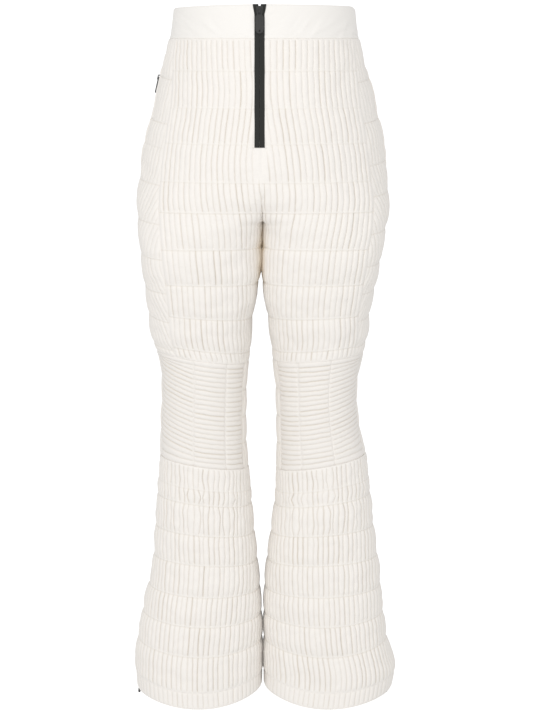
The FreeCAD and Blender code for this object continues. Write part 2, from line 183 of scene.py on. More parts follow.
class Cloth:
    """The surface of one side of the garment, in mm, on the wearer's left or right."""

    def __init__(self, side):
        self.side = side
        self.outer = OUTER[side]
        self.inner = INNER[side]
        self.angles = np.linspace(INSEAM, LAST_ANGLE, 801)
        self.depths = np.arange(0.0, HEM + 5.1, ROW_STEP)
        point = self.point(self.angles[None, :], self.depths[:, None])
        step = np.hypot(np.diff(point[..., 0], axis=1), np.diff(point[..., 1], axis=1))
        self.length = np.concatenate([np.zeros((len(self.depths), 1)), np.cumsum(step, axis=1)], axis=1)

    def point(self, angle, depth):
        """Where the cloth is at an angle and a depth."""
        angle, depth = np.broadcast_arrays(np.asarray(angle, float), np.asarray(depth, float))
        angle = np.where(depth < SPLIT_END, np.minimum(angle, INSEAM_AGAIN), angle)
        sine = np.sin(np.radians(angle))
        cosine = np.cos(np.radians(angle))
        front = (angle < 90.0) | (angle > INSEAM_AGAIN)
        outer = self.outer(depth)
        gap_open = ease((depth - CRUTCH_GAP_TOP) / CRUTCH_GAP_OPENING)
        to_front = np.where(front, ease((angle - INSEAM) / FRONT_TURN), 0.0)
        inner = self.inner(depth) * (gap_open + (1 - gap_open) * to_front)
        across = outer * (1 + sine) / 2
        reach = np.where(front, TRUNK_FRONT(depth), TRUNK_BACK(depth))
        trunk_y = np.where(front, -1.0, 1.0) * reach * np.sqrt(np.clip(1 - (across / outer) ** 2, 0, 1))
        leg_x = (outer + inner) / 2 + (outer - inner) / 2 * sine
        fullness = np.sign(cosine) * np.abs(cosine) ** FULLNESS(depth)
        leg_y = -np.where(front, LEG_FRONT(depth), LEG_BACK(depth)) * fullness
        middle = ((1 - sine) / 2) ** FORK_NARROWNESS
        fork = np.clip((depth - FORK_TOP) / (CRUTCH + 1.0 - FORK_TOP), 0, 1)
        split = middle * (1 - np.sqrt(1 - fork ** 2))
        split = split + (1 - middle) * ease((depth - HIP_SPLIT_TOP) / (SPLIT_END - HIP_SPLIT_TOP))
        x = across + split * (leg_x - across) - SEAM_LAP * ((1 - sine) / 2) ** LAP_NARROWNESS
        y = trunk_y + split * (leg_y - trunk_y)
        return np.stack([self.side * x, y, -depth], axis=-1)

    def normal(self, angle, depth):
        """The outward direction of the cloth."""
        tiny = 0.4
        past = angle > INSEAM_AGAIN
        low = np.maximum(angle - tiny, np.where(past, INSEAM_AGAIN, INSEAM))
        high = np.minimum(angle + tiny, np.where(past, LAST_ANGLE, INSEAM_AGAIN))
        round_leg = self.point(high, depth) - self.point(low, depth)
        down = self.point(angle, depth + tiny) - self.point(angle, depth - tiny)
        out = np.cross(down, round_leg) * self.side
        return out / np.maximum(np.linalg.norm(out, axis=-1, keepdims=True), 1e-9)

    def length_at(self, angle, depth):
        """Length of cloth from the inseam to an angle, at single depths."""
        row = np.clip(depth / ROW_STEP, 0, len(self.depths) - 1.001)
        low = row.astype(int)
        share = row - low
        result = np.empty(len(depth))
        for i, (r, s) in enumerate(zip(low, share)):
            a = np.interp(angle[i], self.angles, self.length[r])
            b = np.interp(angle[i], self.angles, self.length[r + 1])
            result[i] = a + s * (b - a)
        return result

    def ruler(self, reference):
        """A function that finds the angle at a length of cloth from a reference line."""
        lengths = np.arange(RULER_START, RULER_END, 1.0)
        angle = np.array([reference(depth) for depth in self.depths], float)
        table = np.empty((len(self.depths), len(lengths)))
        for i in range(len(self.depths)):
            start = np.interp(angle[i], self.angles, self.length[i])
            table[i] = np.interp(lengths, self.length[i] - start, self.angles)

        return lambda length, depth: read_table(table, depth / ROW_STEP, length - RULER_START)


CLOTH = {LEFT: Cloth(LEFT), RIGHT: Cloth(RIGHT)}


# ---- seams ----------------------------------------------------------------------------------------
FRONT_SEAM = {
    LEFT: curve_through((44, 60), (120, 49), (200, 46), (300, 48), (400, 50), (505, 52)),
    RIGHT: curve_through((44, 60), (120, 46), (200, 41), (300, 39), (400, 37), (505, 35)),
}
BACK_SEAM = curve_through((44, 118), (160, 114), (300, 118), (505, 122))
FRONT_TUCKS = [88, 140, 190, 244, 287, 340, 392, 441, 489]
SIDE_TUCKS = {
    LEFT: [99, 156, 216, 258, 308, 354, 397, 442, 485],
    RIGHT: [95, 156, 190, 241, 293, 342, 394, 441, 490],
}
BACK_TUCKS = [92, 146, 200, 252, 303, 350, 398, 446, 488]
LOWER_TUCKS = [698, 721, 767, 812, 860, 905, 950]
TUCK_STRENGTH = {88: 0.55, 140: 0.4, 190: 0.5, 244: 0.6, 698: 0.5}
KNEE_SEAMS = {LEFT: (-68.0, -28.0, 17.0, 80.0), RIGHT: (-68.0, -33.0, 12.0, 80.0)}


def fixed(value):
    """The same value at every depth, such as a seam's angle or the pitch of ribs."""
    return lambda depth: value + 0 * depth


def zip_edge(side):
    """The inner edge of a front panel: the zip's tape, and then the centre seam and inseam."""
    edge = abs(FRONT_ZIP_X + side * FRONT_TAPE)

    def angle(depth):
        beside = np.degrees(np.arcsin(2 * edge / OUTER[side](depth) - 1))
        return np.where(depth < FRONT_ZIP_END, beside, INSEAM)

    return angle


# ---- meshes ---------------------------------------------------------------------------------------
def add_mesh(name, points, faces, attributes=None):
    """A mesh object from points in mm and a list of faces."""
    mesh = bpy.data.meshes.new(name)
    mesh.vertices.add(len(points))
    mesh.vertices.foreach_set("co", (np.asarray(points, np.float64) * MM).astype(np.float32).ravel())
    sizes = np.array([len(face) for face in faces])
    mesh.loops.add(int(sizes.sum()))
    mesh.loops.foreach_set("vertex_index", np.concatenate(faces).astype(np.int32))
    mesh.polygons.add(len(faces))
    starts = np.concatenate([[0], np.cumsum(sizes)[:-1]]).astype(np.int32)
    mesh.polygons.foreach_set("loop_start", starts)
    mesh.update(calc_edges=True)
    mesh.polygons.foreach_set("use_smooth", [True] * len(faces))
    for key, values in (attributes or {}).items():
        kind = "FLOAT" if values.ndim == 1 else "FLOAT_VECTOR"
        layer = mesh.attributes.new(key, kind, "POINT")
        layer.data.foreach_set("value" if kind == "FLOAT" else "vector", values.astype(np.float32).ravel())
    mesh.validate()
    piece = bpy.data.objects.new(name, mesh)
    bpy.context.scene.collection.objects.link(piece)
    return piece


def enclosed_volume(points, faces):
    """Volume inside a closed piece; it is negative when the faces are inside out."""
    corner = np.array([[face[0], face[1], face[2], face[-1]] for face in faces])
    a, b, c, d = (points[corner[:, i]] for i in range(4))
    total = np.einsum("ij,ij->i", a, np.cross(b, c)) + np.einsum("ij,ij->i", a, np.cross(c, d))
    return total.sum() / 6.0


def thick_sheet(name, outside, inside, index, place, shades=None, keep=None):
    """A closed piece from two matching grids of points in mm.

    index merges grid points, place is where each point lies on the cloth, shades holds values for the
    materials, and keep says which cells exist.
    """
    used, compact = np.unique(index, return_inverse=True)
    compact = compact.reshape(index.shape)
    count = len(used)
    quads = np.stack([compact[:-1, :-1], compact[1:, :-1], compact[1:, 1:], compact[:-1, 1:]], axis=-1)
    quads = quads.reshape(-1, 4) if keep is None else quads[keep]
    faces = []
    for quad in quads.tolist():
        face = [v for i, v in enumerate(quad) if v != quad[i - 1]]
        if len(set(face)) > 2:
            faces.append(face)
    edges = {}
    for face in faces:
        for i, v in enumerate(face):
            edges[(face[i - 1], v)] = edges.get((face[i - 1], v), 0) + 1
    rim = [edge for edge in edges if (edge[1], edge[0]) not in edges]
    back = [[v + count for v in reversed(face)] for face in faces]
    sides = [[b, a, a + count, b + count] for a, b in rim]
    flat_out = outside.reshape(-1, 3)[used]
    flat_in = inside.reshape(-1, 3)[used]
    values = {}
    for key, grid in {"cloth": place * MM, **(shades or {})}.items():
        flat = grid.reshape(-1, *grid.shape[2:])[used]
        values[key] = np.concatenate([flat, flat])
    values["lining"] = np.concatenate([np.zeros(count), np.ones(count)])
    points = np.concatenate([flat_out, flat_in])
    faces = faces + back + sides
    if enclosed_volume(points, faces) < 0:
        faces = [face[::-1] for face in faces]
    piece = add_mesh(name, points, faces, values)
    mark_rim(piece, rim, count)
    return piece


def mark_rim(piece, rim, count):
    """Keeps the edges round a thick piece crisp."""
    mesh = piece.data
    on_rim = np.zeros(2 * count, bool)
    for a, b in rim:
        on_rim[[a, b, a + count, b + count]] = True
    ends = np.empty(len(mesh.edges) * 2, np.int32)
    mesh.edges.foreach_get("vertices", ends)
    ends = ends.reshape(-1, 2)
    same_layer = (ends[:, 0] < count) == (ends[:, 1] < count)
    sharp = on_rim[ends[:, 0]] & on_rim[ends[:, 1]] & same_layer
    layer = mesh.attributes.get("sharp_edge") or mesh.attributes.new("sharp_edge", "BOOLEAN", "EDGE")
    layer.data.foreach_set("value", sharp)


ROWS_APART = 3.2
ROWS_AT_TUCK = np.array([-3.4, -2.1, -1.2, -0.5, 0.5, 1.2, 2.1, 3.4])


def row_depths(top, bottom, tucks, breaks):
    """Depths for the rows of a panel, close together at its tucks and ends and where its edge jumps."""
    rows = [np.arange(top, bottom, ROWS_APART)]
    for tuck in list(tucks) + [top, bottom]:
        rows.append(tuck + ROWS_AT_TUCK)
    depths = np.sort(np.concatenate(rows))
    depths = depths[(depths > top) & (depths < bottom)]
    depths = np.concatenate([[top], depths, [bottom]])
    kept = [depths[0]]
    for depth in depths[1:-1]:
        if depth - kept[-1] > 0.45 and bottom - depth > 0.45:
            kept.append(depth)
    kept = np.array(kept + [bottom])
    for level in breaks:
        kept = kept[np.abs(kept - level) > 0.7]
        kept = np.sort(np.append(kept, [level - 0.05, level + 0.05]))
    return kept


RIB_COLUMNS = (0.0, 0.07, 0.17, 0.36, 0.64, 0.83, 0.93)     # shares of a rib's width


class RibNoise:
    """The small differences between ribs: how deep each groove is and how it wanders."""

    def __init__(self, seed, tucks, first, last, jog, depth_range):
        random = np.random.default_rng(seed)
        self.first = first
        self.tucks = np.array(sorted(tucks) or [0.0], float)
        count = last - first + 2
        tiers = len(self.tucks) + 1
        self.jog = np.clip(random.normal(0, jog, (tiers, count)), -2 * jog, 2 * jog)
        self.jog += 0.8 * np.clip(random.normal(0, jog, (1, count)), -2 * jog, 2 * jog)
        low, high = depth_range
        self.depth = random.uniform(low, high, (tiers, count)) * random.uniform(0.75, 1.25, (1, count))
        self.wave = random.uniform(0, 2 * math.pi, (2, count))
        self.size = random.uniform(0.03, 0.16, (2, count)) * (1 + jog)
        self.height = random.uniform(0.82, 1.12, (tiers, count))

    def tier(self, depth):
        """The number of the band between two tucks."""
        return np.searchsorted(self.tucks, depth)

    def groove(self, table, tier, phase):
        """Values at a rib's two grooves, mixed by where the point lies between them."""
        low = np.clip(np.floor(phase).astype(int) - self.first, 0, table.shape[-1] - 2)
        share = phase - np.floor(phase)
        return table[tier, low] * (1 - share) + table[tier, low + 1] * share

    def wander(self, phase, depth):
        """How far the grooves stray sideways, which is least at the tucks."""
        tier = self.tier(depth)
        upper = np.clip(tier, 0, len(self.tucks) - 1)
        lower = np.clip(tier - 1, 0, len(self.tucks) - 1)
        near = np.minimum(np.abs(depth - self.tucks[upper]), np.abs(depth - self.tucks[lower]))
        result = self.groove(self.jog, tier, phase) * ease(near / 14.0)
        for i, span in enumerate((83.0, 31.0)):
            low = np.clip(np.floor(phase).astype(int) - self.first, 0, self.wave.shape[1] - 2)
            share = phase - np.floor(phase)
            a = self.size[i, low] * np.sin(depth / span * 2 * math.pi + self.wave[i, low])
            b = self.size[i, low + 1] * np.sin(depth / span * 2 * math.pi + self.wave[i, low + 1])
            result = result + a * (1 - share) + b * share
        return result

    def nearest(self, table, tier, phase):
        """Values at the nearest groove."""
        at = np.clip(np.rint(phase).astype(int) - self.first, 0, table.shape[1] - 1)
        return table[tier, at]


def tuck_shape(depth, tucks):
    """What a tuck does to the cloth: ribs pinched flat, a valley, a thin lip and a shadow under it."""
    pinch = np.zeros_like(depth)
    dip = np.zeros_like(depth)
    lip = np.zeros_like(depth)
    shadow = np.zeros_like(depth)
    for tuck in tucks:
        away = depth - tuck
        strength = TUCK_STRENGTH.get(tuck, 1.0)
        pinch = np.maximum(pinch, min(1.0, 1.2 * strength) * hump(away, 1.3))
        dip = np.maximum(dip, strength * np.exp(-np.sqrt((away / 7.5) ** 2 + 0.03)))
        lip = np.maximum(lip, strength * hump(away + 0.2, 0.8))
        shadow = np.maximum(shadow, strength * hump(away - 1.3, 0.8))
    return pinch, dip, lip, shadow


def clip_to_seams(length, low, high):
    """Cuts a grid off at the seams on its two sides: cell numbers, and lengths that stop at the seam."""
    rows, columns = length.shape
    first_column = (length <= low).sum(axis=1, keepdims=True) - 1
    last_column = (length < high).sum(axis=1, keepdims=True)
    column = np.clip(np.arange(columns)[None, :], first_column, last_column)
    index = np.arange(rows)[:, None] * columns + column
    return index, np.clip(length, low, high)


def seam_lengths(cloth, reference, seams, depths):
    """Lengths of cloth from the reference line to seams, one column of numbers for each seam."""
    start = cloth.length_at(reference(depths) + 0 * depths, depths)
    return [(cloth.length_at(seam(depths) + 0 * depths, depths) - start)[:, None] for seam in seams]


def follow_seams(cloth, reference, seams, length, depth, low, high, moved):
    """Keeps a panel's edges on its seams when its rows are moved up or down."""
    levels = np.arange(depth.min() - 30.0, depth.max() + 30.0, 1.0)
    levels = levels[(levels >= 0) & (levels <= HEM + 4.0)]
    low_at, high_at = seam_lengths(cloth, reference, seams, levels)
    new_low = np.interp(moved, levels, low_at[:, 0])
    new_high = np.interp(moved, levels, high_at[:, 0])
    share = (length - low) / (high - low)
    return np.where(np.abs(moved - depth) < 1e-6, length, new_low + share * (new_high - new_low))


def level_shift(side, angle, depth):
    """How far down the leg level lines move, by angle: slanted round the knee and raised at the hem."""
    sine = np.sin(np.radians(angle))
    rise = np.where(sine > 0, OUTER_HEM_RISE, INNER_HEM_RISE) * sine ** 2
    return -SLANT[side](depth) * sine - rise * ease((depth - 780.0) / 240.0)


# ---- cloth simulation -----------------------------------------------------------------------------
PUFF_TURN = 3.0             # the simulated shell's cells, in degrees round the leg
PUFF_STEP = 6.0             # and in mm down it
PUFF_ANGLES = np.arange(INSEAM, INSEAM_AGAIN + 0.1, PUFF_TURN)
PUFF_DEPTHS = np.arange(WAISTBAND, HEM_BAND_TOP + 0.1, PUFF_STEP)
PUFF_FRAMES = 10
PUFF_LIMIT = 2.6            # the furthest that a point may move
PUFF_SHARE = 0.5            # how much of the simulated movement is kept
PIN_LEVELS = 10             # steps between loose and sewn down
CLOTH_SETTINGS = {
    "quality": 6, "mass": 0.05, "tension_stiffness": 12.0, "compression_stiffness": 8.0,
    "shear_stiffness": 3.0, "bending_stiffness": 0.5, "vertex_group_mass": "sewn", "pin_stiffness": 5.0,
    "shrink_min": -0.02, "use_pressure": True, "uniform_pressure_force": 1.5}


def pin_weights(side, angle, depth):
    """1 where the cloth is sewn down and 0 where it is free to puff out."""
    front = angle < FRONT_SEAM[side](depth)
    back = angle > BACK_SEAM(depth)
    weight = np.zeros_like(depth)
    for tucks, where in ((FRONT_TUCKS, front), (SIDE_TUCKS[side], ~front & ~back), (BACK_TUCKS, back)):
        for tuck in tucks:
            weight = np.maximum(weight, where * (depth < KNEE_TOP) * hump(depth - tuck, 3.2))
    for tuck in LOWER_TUCKS:
        weight = np.maximum(weight, hump(depth - tuck, 3.2))
    for seam in (FRONT_SEAM[side](depth), BACK_SEAM(depth)):
        weight = np.maximum(weight, (depth < KNEE_TOP) * hump(angle - seam, 2.5))
    weight = np.maximum(weight, (depth > KNEE_TOP - 3) & (depth < KNEE_BOTTOM + 3))
    ends = np.minimum(depth - PUFF_DEPTHS[0], PUFF_DEPTHS[-1] - depth)
    weight = np.maximum(weight, ends < 3)
    sides = np.minimum(angle - INSEAM, INSEAM_AGAIN - angle)
    weight = np.maximum(weight, sides < 4)
    return np.where(weight > 0.3, weight, 0.0)


def simulate_shell(side, start, out, weight):
    """Runs Blender's cloth on a coarse shell of cloth, and returns how far each point moved outwards."""
    rows, columns = weight.shape
    bumps = np.random.default_rng(300 + side).normal(0, 0.25, weight.shape)
    index = np.arange(rows * columns).reshape(rows, columns)
    corners = [index[:-1, :-1], index[1:, :-1], index[1:, 1:], index[:-1, 1:]]
    faces = np.stack(corners[::side], axis=-1).reshape(-1, 4).tolist()
    shell = add_mesh("cloth_shell", (start + out * bumps[..., None]).reshape(-1, 3), faces)
    group = shell.vertex_groups.new(name="sewn")
    for level in range(1, PIN_LEVELS + 1):
        members = np.nonzero(np.rint(weight.ravel() * PIN_LEVELS).astype(int) == level)[0].tolist()
        if members:
            group.add(members, level / PIN_LEVELS, "REPLACE")
    modifier = shell.modifiers.new("cloth", "CLOTH")
    for key, value in CLOTH_SETTINGS.items():
        setattr(modifier.settings, key, value)
    modifier.settings.effector_weights.gravity = 0.3
    modifier.collision_settings.use_collision = False
    modifier.point_cache.frame_start = 1
    modifier.point_cache.frame_end = PUFF_FRAMES
    scene = bpy.context.scene
    for frame_number in range(1, PUFF_FRAMES + 1):
        scene.frame_set(frame_number)
    settled = shell.evaluated_get(bpy.context.evaluated_depsgraph_get()).to_mesh()
    place = np.empty(len(settled.vertices) * 3, np.float32)
    settled.vertices.foreach_get("co", place)
    moved_by = place.reshape(start.shape) / MM - start
    bpy.data.objects.remove(shell)
    scene.frame_set(1)
    return np.clip(np.einsum("ijk,ijk->ij", moved_by, out), -PUFF_LIMIT, PUFF_LIMIT)


def settle_cloth(side):
    """Puffs the cloth out between its tucks: a shell a little too big, filled with air and sewn down.

    Returns a function of angle and depth: how far the cloth stands out there, in mm.
    """
    angle, depth = np.meshgrid(PUFF_ANGLES, PUFF_DEPTHS)
    moved = depth + level_shift(side, angle, depth)
    start = CLOTH[side].point(angle, moved)
    out = CLOTH[side].normal(angle, moved)
    stand = simulate_shell(side, start, out, pin_weights(side, angle, depth))

    def stands_out(angle, depth):
        return read_table(stand, (depth - WAISTBAND) / PUFF_STEP, (angle - INSEAM) / PUFF_TURN)

    return stands_out


PUFFS = {side: settle_cloth(side) for side in (LEFT, RIGHT)}


# ---- panels ---------------------------------------------------------------------------------------
GROOVE_WIDTH = 0.7
GROOVE_DEPTH = 0.8
FLATTENED = 0.62            # share of a rib's height that is left where the ribs fade out
WELT_FADE = 12.0            # the lip beside the pocket zip runs out over this distance
CRUTCH_SHADE_END = 410.0             # the painted shade between the legs ends here
NOWHERE = 99.0              # further from a cut-out than any of its effects reach


def slot_shape(slots, length, depth):
    """The distance to the nearest cut-out, and the height of the soft lip in front of it."""
    to_slot = np.full_like(depth, NOWHERE)
    welt = np.zeros_like(depth)
    for low, high, top, bottom in slots:
        beside = np.maximum(low - length, length - high)
        beyond = np.maximum(top - depth, depth - bottom)
        to_slot = np.minimum(to_slot, np.maximum(beside, beyond))
        along = ease((depth - top + WELT_FADE) / WELT_FADE) * ease((bottom + WELT_FADE - depth) / WELT_FADE)
        welt += WELT * along * hump(low - 6.5 - length, 4.5)
    return np.maximum(to_slot, 0), welt


def outside_slots(slots, length, depth):
    """Which cells of a grid lie outside the cut-outs."""
    length = (length[:-1, :-1] + length[1:, 1:]) / 2
    depth = (depth[:-1, :-1] + depth[1:, 1:]) / 2
    keep = np.ones(depth.shape, bool)
    for low, high, top, bottom in slots:
        keep &= ~((length > low) & (length < high) & (depth > top) & (depth < bottom))
    return keep


def build_panel(name, side, ends, reference, seams, pitch, tucks, seed, rib=RIB, groove=(0.05, 0.9),
                jog=0.22, slots=(), tilt=0.0, plain=None, puff=1.9, crumple=None, breaks=(),
                trim=(0.0, 0.0)):
    """A quilted panel between two seams, with upright ribs and level tucks.

    ends are its upper and lower depth, and its ribs run along the reference line.  groove is the range of
    the grooves' depths, jog is how far they stray, slots are cut-outs for zips as (low, high, top, bottom),
    tilt is how much the tucks slope, and trim is what is cut off each side beside the ankle zip.
    """
    cloth = CLOTH[side]
    top, bottom = ends
    depths = row_depths(top, bottom, tucks + [level for slot in slots for level in slot[2:]], breaks)
    whole_low, whole_high = seam_lengths(cloth, reference, seams, depths)
    beside_zip = (depths > ANKLE_ZIP_TOP)[:, None]
    low = whole_low + trim[0] * beside_zip
    high = whole_high - trim[1] * beside_zip
    pitches = pitch(depths)[:, None]
    first = int(math.floor((low / pitches).min())) - 1
    last = int(math.ceil((high / pitches).max())) + 1
    phases = np.concatenate([rib_index + np.array(RIB_COLUMNS) for rib_index in range(first, last + 1)])
    for slot in slots:
        for edge in slot[:2]:
            at = edge / pitches.mean()
            phases[np.argmin(np.abs(phases - at))] = at
    phase, depth = np.meshgrid(phases, depths)
    noise = RibNoise(seed, tucks, first, last, jog, groove)
    wander = noise.wander(phase, depth)
    if crumple is not None:
        wander = wander * (1 + crumple(depth))
    for slot in slots:
        away = np.abs(phase * pitches - (slot[0] + slot[1]) / 2) - (slot[1] - slot[0]) / 2
        beside = (depth > slot[2] - 6) & (depth < slot[3] + 6)
        wander = wander * np.where(beside, ease(away / 9.0), 1.0)
    length = np.maximum.accumulate(phase * pitches + wander, axis=1)
    index, length = clip_to_seams(length, low, high)
    ruler = cloth.ruler(reference)
    moved = depth + tilt * length * edge_fade(depth, top, bottom)
    moved = moved + level_shift(side, ruler(length, moved), moved)
    angle = ruler(follow_seams(cloth, reference, seams, length, depth, whole_low, whole_high, moved), moved)
    base = cloth.point(angle, moved)
    out = cloth.normal(angle, moved)

    share = phase - np.floor(phase)
    profile = 1 - np.abs(2 * share - 1) ** 3.0
    tier = noise.tier(depth)
    pinch, dip, lip, shadow = tuck_shape(depth, tucks)
    to_slot, welt = slot_shape(slots, length, depth)
    to_side = np.minimum(length - low, high - length)
    to_end = np.minimum(depth - top, bottom - depth)
    edge = np.minimum(np.minimum(to_side, to_end), to_slot)
    fade = ease(edge / 4.0) * (1 - pinch)
    if plain is not None:
        fade = fade * plain(base[..., 0], depth)
    deep = noise.nearest(noise.depth, tier, phase)
    near_groove = hump(np.minimum(share, 1 - share) * pitches, GROOVE_WIDTH)
    height = noise.groove(noise.height, tier, phase)
    relief = rib * height * profile * fade - GROOVE_DEPTH * deep * near_groove * fade
    relief += FLATTENED * rib * (1 - fade) * np.where(edge < 4.0, 0.55, 1.0)
    relief += puff * (0.7 - dip) + 0.5 * lip - 0.35 * shadow
    relief += PUFF_SHARE * PUFFS[side](angle, depth) * ease(edge / 6.0)
    relief += welt - 0.9 * hump(np.minimum(to_side, to_slot), 2.0) - 0.3 * hump(to_end, 1.5)
    # painted shade: near the inseam below the crutch the cloth is painted with a warm shadow where the legs
    # meet
    from_inseam = np.minimum(np.abs(angle - INSEAM), np.abs(INSEAM_AGAIN - angle))
    under_crutch = ease((moved - CRUTCH + 6.0) / 12.0) * ease((CRUTCH_SHADE_END - moved) / 40.0)
    # painted shade: the grooves, deeper ones more, and a thin line under each tuck are painted darker
    shades = {
        "groove": np.clip(near_groove * fade * (0.15 + 0.7 * deep) + 0.35 * shadow, 0, 1),
        "tan": 0.85 * under_crutch * hump(from_inseam, 12.5)}
    place = np.stack([length, depth, relief], axis=-1)
    keep = outside_slots(slots, length, depth)
    return thick_sheet(name, base + out * relief[..., None], base - out * QUILT, index, place, shades, keep)


def build_knee(name, side, inner, outer, slope, seed):
    """A knee facet with level ribs between two upright seams, and a plain band above and below them."""
    cloth = CLOTH[side]
    random = np.random.default_rng(seed)
    height = KNEE_BOTTOM - KNEE_TOP
    count = int(round((height - 2 * KNEE_BAND) / KNEE_PITCH))
    pitch = (height - 2 * KNEE_BAND) / count
    band_rows = np.array([0.0, 0.7, 1.5, 2.6, 4.2, 5.8, 7.0])
    depths = [KNEE_TOP + band_rows]
    phases = [np.full(len(band_rows), -1.0)]
    for rib_number in range(count):
        rows = rib_number + np.array(RIB_COLUMNS)
        depths.append(KNEE_TOP + KNEE_BAND + rows * pitch)
        phases.append(rows)
    depths.append(KNEE_BOTTOM - KNEE_BAND + np.concatenate([[0.0], KNEE_BAND - band_rows[::-1]]))
    phases.append(np.concatenate([[float(count)], np.full(len(band_rows), -1.0)]))
    depths, phases = np.concatenate(depths), np.concatenate(phases)
    seams = fixed(inner), fixed(outer)
    low, high = seam_lengths(cloth, fixed(0.0), seams, depths)
    columns = int(np.ceil((high - low).max() / 1.9))
    share = np.linspace(0.0, 1.0, columns + 1)[None, :]
    length = low + (high - low) * share
    depth = depths[:, None] + 0 * length
    phase = phases[:, None] + 0 * length
    index = np.arange(length.size).reshape(length.shape)
    distance = length - (low if slope > 0 else high)
    lift = -abs(slope) * np.abs(distance) * edge_fade(depth, KNEE_TOP, KNEE_BOTTOM)
    wobble = random.normal(0, 0.28, (count + 3, 7))
    along = (length - low.mean()) / 11.0
    knot = np.clip(np.floor(along).astype(int), 0, 5)
    mix = ease(along - knot)
    rib_index = np.clip(np.rint(phase).astype(int) + 1, 0, count + 2)
    sway = wobble[rib_index, knot] * (1 - mix) + wobble[rib_index, knot + 1] * mix
    lift = lift + np.where(phase >= 0, sway, 0)
    ruler = cloth.ruler(fixed(0.0))
    moved = depth + lift + level_shift(side, ruler(length, depth), depth)
    angle = ruler(follow_seams(cloth, fixed(0.0), seams, length, depth, low, high, moved), moved)
    base = cloth.point(angle, moved)
    out = cloth.normal(angle, moved)
    part = phase - np.floor(phase)
    ribbed = phase >= 0
    profile = np.where(ribbed, 1 - np.abs(2 * part - 1) ** 2.6, 0)
    to_side = np.minimum(length - low, high - length)
    to_end = np.minimum(depth - KNEE_TOP, KNEE_BOTTOM - depth)
    fade = ease(to_side / 2.6)
    strength = random.uniform(0.5, 1.25, count + 3)[rib_index]
    near_groove = np.where(ribbed, hump(np.minimum(part, 1 - part) * pitch, 0.75), 0)
    to_band = np.abs(to_end - KNEE_BAND / 2) / (KNEE_BAND / 2)
    relief = KNEE_RIB * profile * fade - 0.55 * strength * near_groove * fade
    relief += np.where(ribbed, 0.6 * KNEE_RIB * (1 - fade), 1.5 * (1 - np.clip(to_band, 0, 1) ** 2.4))
    relief -= 1.2 * hump(to_side, 1.3) + 0.3 * hump(to_end, 1.3)
    relief += 0.8 * np.sin(math.pi * share)
    # painted shade: the grooves between the knee ribs are painted darker
    shades = {"groove": np.clip(near_groove * fade * strength * 0.7, 0, 1)}
    place = np.stack([length, depth, relief], axis=-1)
    return thick_sheet(name, base + out * relief[..., None], base - out * QUILT, index, place, shades)


def build_plain(name, side, ends, reference, seams, relief, thickness, offset=0.0, cell=2.0,
                shift=None):
    """A smooth piece of cloth between two seams; relief(length, depth, edge) shapes its surface."""
    cloth = CLOTH[side]
    top, bottom = ends
    inside_rows = np.arange(top + cell, bottom - cell / 2, cell)
    end_rows = np.array([0.0, 0.35, 0.8, 1.4])
    depths = np.unique(np.concatenate([top + end_rows, inside_rows, bottom - end_rows]))
    low, high = seam_lengths(cloth, reference, seams, depths)
    columns = np.arange(math.floor(low.min() / cell) - 1, math.ceil(high.max() / cell) + 2) * cell
    length, depth = np.meshgrid(columns, depths)
    index, length = clip_to_seams(length, low, high)
    angle = cloth.ruler(reference)(length, depth)
    moved = depth if shift is None else depth + shift(side, angle, depth)
    base = cloth.point(angle, moved)
    out = cloth.normal(angle, moved)
    edge = np.minimum(np.minimum(length - low, high - length), np.minimum(depth - top, bottom - depth))
    height = relief(length, depth, edge) - offset
    place = np.stack([length, depth, height], axis=-1)
    return thick_sheet(name, base + out * height[..., None], base - out * (thickness + offset), index, place)


def edge_fade(depth, top, bottom):
    """1 inside a panel, 0 at its upper and lower ends."""
    return ease((depth - top) / 24.0) * ease((bottom - depth) / 24.0)


# ---- materials ------------------------------------------------------------------------------------
CREAM = (0.875, 0.84, 0.798)
# painted shade for the grooves and under the tucks
SHADE = (0.72, 0.66, 0.57)
# painted shade: the warm shadow between the legs below the crutch
CRUTCH_SHADE_COLOUR = (0.78, 0.60, 0.34)


def node_material(name):
    """A new material with its shader and its node tree."""
    material = bpy.data.materials.new(name)
    material.use_nodes = True
    tree = material.node_tree
    shader = tree.nodes["Principled BSDF"]
    return material, tree, shader


def add_node(tree, kind, settings=None, links=None, **values):
    """Adds a node; links joins its inputs to other nodes' outputs, and values sets them."""
    node = tree.nodes.new(kind)
    for key, value in (settings or {}).items():
        setattr(node, key, value)
    for key, value in values.items():
        node.inputs[key.replace("_", " ")].default_value = value
    for key, output in (links or {}).items():
        tree.links.new(output, node.inputs[key])
    return node


def read_attribute(tree, name, output):
    """Reads one of the values that the meshes hold at each point."""
    return add_node(tree, "ShaderNodeAttribute", {"attribute_name": name}).outputs[output]


def mix_colours(tree, share, *colours):
    """Mixes two colours, each of them fixed or another node's output."""
    node = add_node(tree, "ShaderNodeMix", {"data_type": "RGBA"}, {"Factor": share})
    for key, colour in zip("AB", colours):
        if isinstance(colour, tuple):
            node.inputs[key].default_value = (*colour, 1)
        else:
            tree.links.new(colour, node.inputs[key])
    return node.outputs["Result"]


def scaled(colour, factor):
    """A colour made darker or lighter."""
    return tuple(min(1, c * factor) for c in colour)


TWO_PI = 6.283              # a wave texture counts its scale in radians


